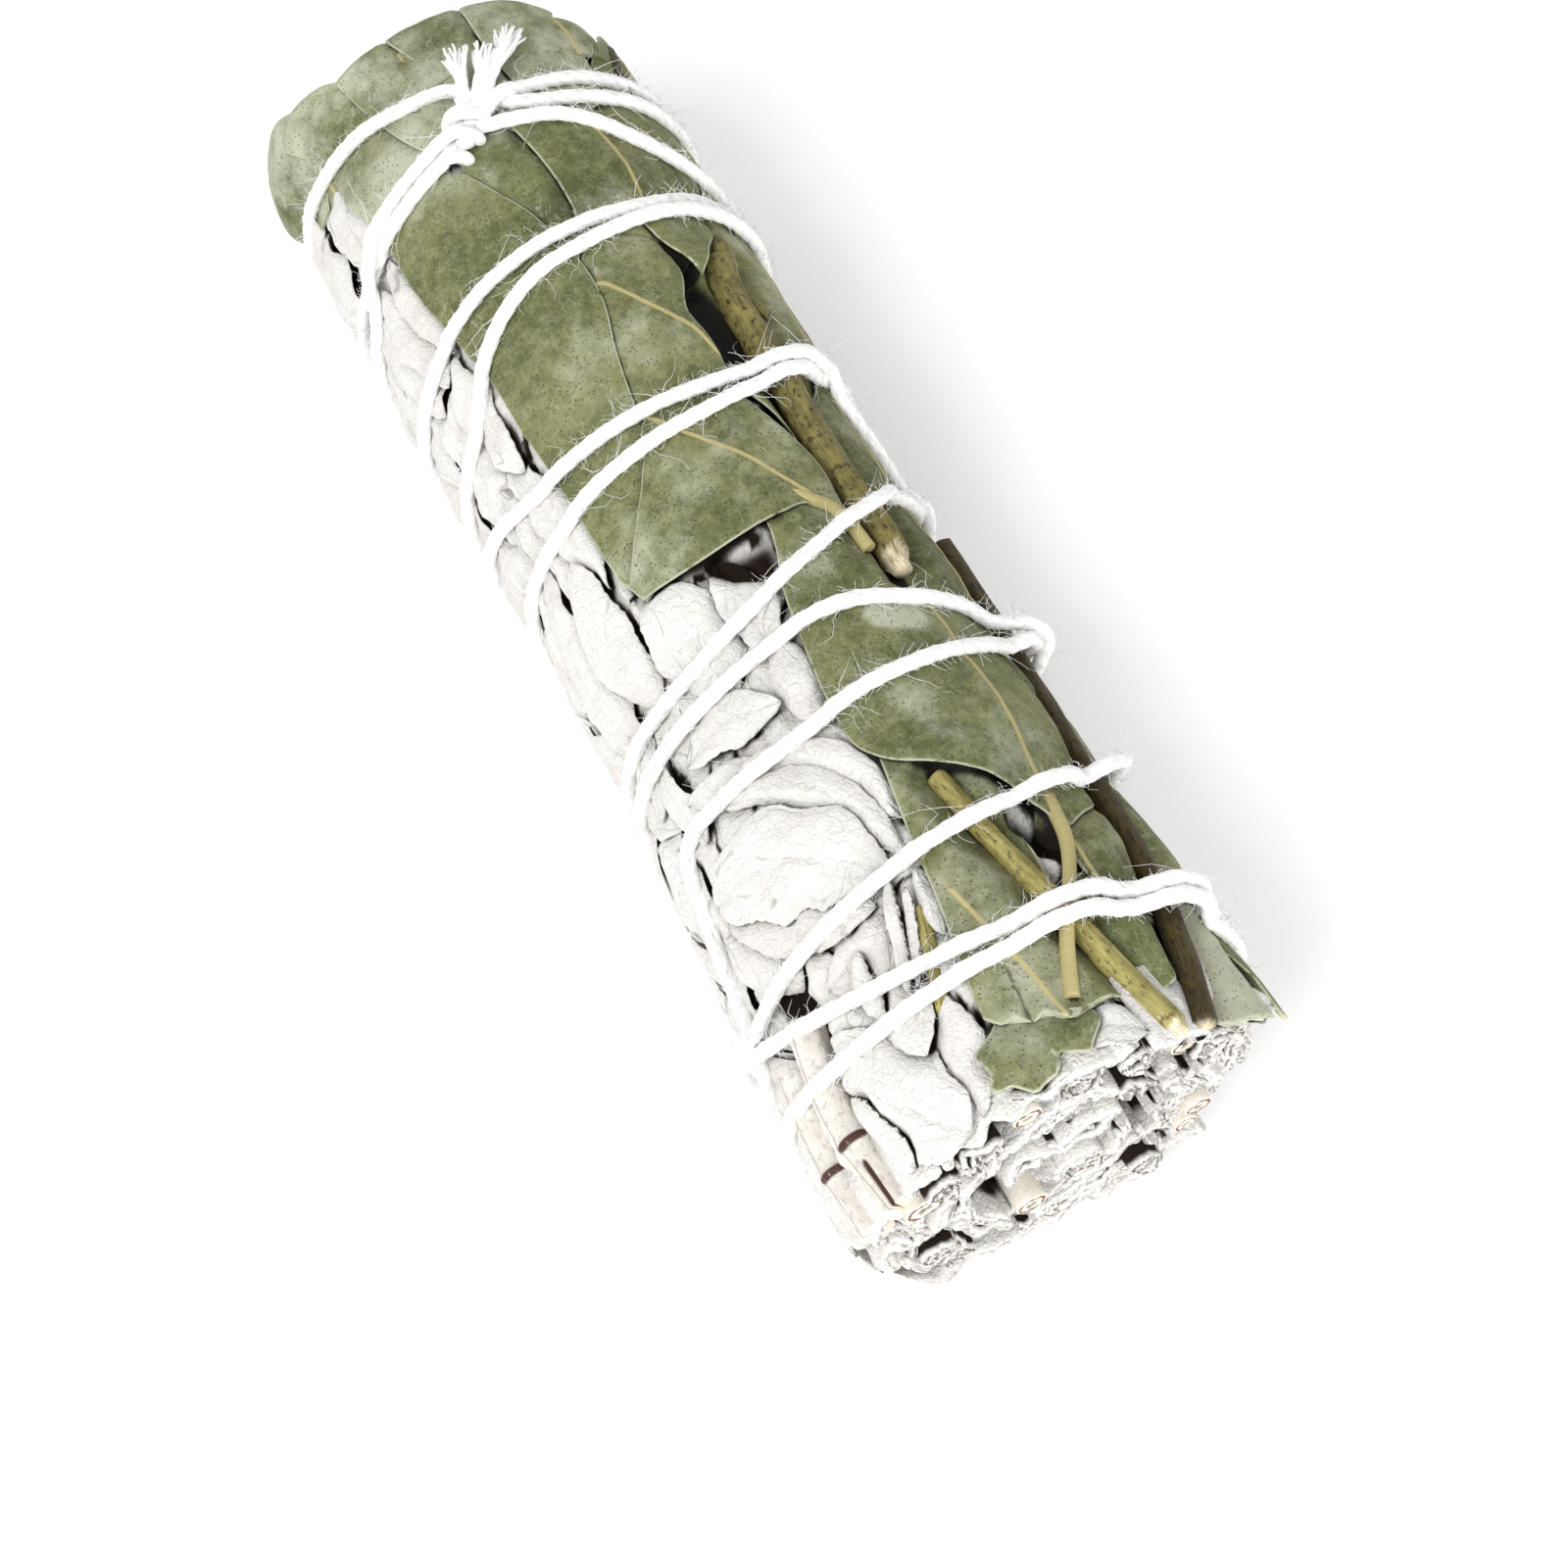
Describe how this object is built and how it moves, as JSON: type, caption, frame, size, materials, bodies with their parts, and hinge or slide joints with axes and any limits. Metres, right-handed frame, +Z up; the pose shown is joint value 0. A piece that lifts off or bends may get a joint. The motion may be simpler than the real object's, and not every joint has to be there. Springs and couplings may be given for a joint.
{
  "type": "sage smudge stick",
  "caption": "Cylindrical bundle of dried white sage and eucalyptus leaves with twigs, bound with criss-crossed cotton string, lying on its side.",
  "frame": {"origin": "under the middle of the stick, on the surface it lies on", "axes": "+X along the stick to its cut end, +Z up from the surface, with the eucalyptus on top and on the +Y side"},
  "size_m": [0.1284, 0.0414, 0.0402],
  "materials": {
    "sage_leaf": "felted, matte, near white with dark creases",
    "eucalyptus_leaf": "dry grey-green leaf with fine dark dots and pale bloom",
    "eucalyptus_leaf_dark": "dry darker green leaf with fine dark dots",
    "speckled_twig": "olive bark with dark speckles",
    "brown_twig": "dark brown bark",
    "yellow_stem": "straw-yellow stem with brown specks",
    "cotton_string": "white twisted cotton with loose fibres"
  },
  "bodies": {
    "root": {"eucalyptus_leaf_back_far": "eucalyptus_leaf", "eucalyptus_leaf_back_near": "eucalyptus_leaf_dark", "eucalyptus_leaf_flank_tip": "eucalyptus_leaf", "eucalyptus_leaf_flank_far": "eucalyptus_leaf", "eucalyptus_leaf_flank_middle": "eucalyptus_leaf_dark", "eucalyptus_leaf_flank_near": "eucalyptus_leaf", "eucalyptus_leaf_near_pale": "eucalyptus_leaf", "eucalyptus_leaf_near_small": "eucalyptus_leaf_dark", "eucalyptus_leaf_near_round": "eucalyptus_leaf", "eucalyptus_leaf_near_scrap": "eucalyptus_leaf", "eucalyptus_leaf_near_torn": "eucalyptus_leaf", "eucalyptus_leaf_near_large": "eucalyptus_leaf", "eucalyptus_leaf_tip_left": "eucalyptus_leaf_dark", "eucalyptus_leaf_tip_torn": "eucalyptus_leaf", "eucalyptus_leaf_tip_middle": "eucalyptus_leaf", "eucalyptus_leaf_tip_upper": "eucalyptus_leaf_dark", "eucalyptus_leaf_tip_right": "eucalyptus_leaf", "eucalyptus_leaf_behind_brown": "eucalyptus_leaf_dark", "eucalyptus_leaf_behind_green": "eucalyptus_leaf", "eucalyptus_leaf_far_upper": "eucalyptus_leaf", "eucalyptus_leaf_far_large": "eucalyptus_leaf", "eucalyptus_leaf_folded": "eucalyptus_leaf", "eucalyptus_leaf_curled": "eucalyptus_leaf", "eucalyptus_twig_thick": "speckled_twig", "eucalyptus_twig_brown": "brown_twig", "eucalyptus_stem_yellow": "yellow_stem", "eucalyptus_stem_thin": "yellow_stem", "cotton_string": "cotton_string", "sage_bunch": "sage_leaf"}
  },
  "joints": []
}
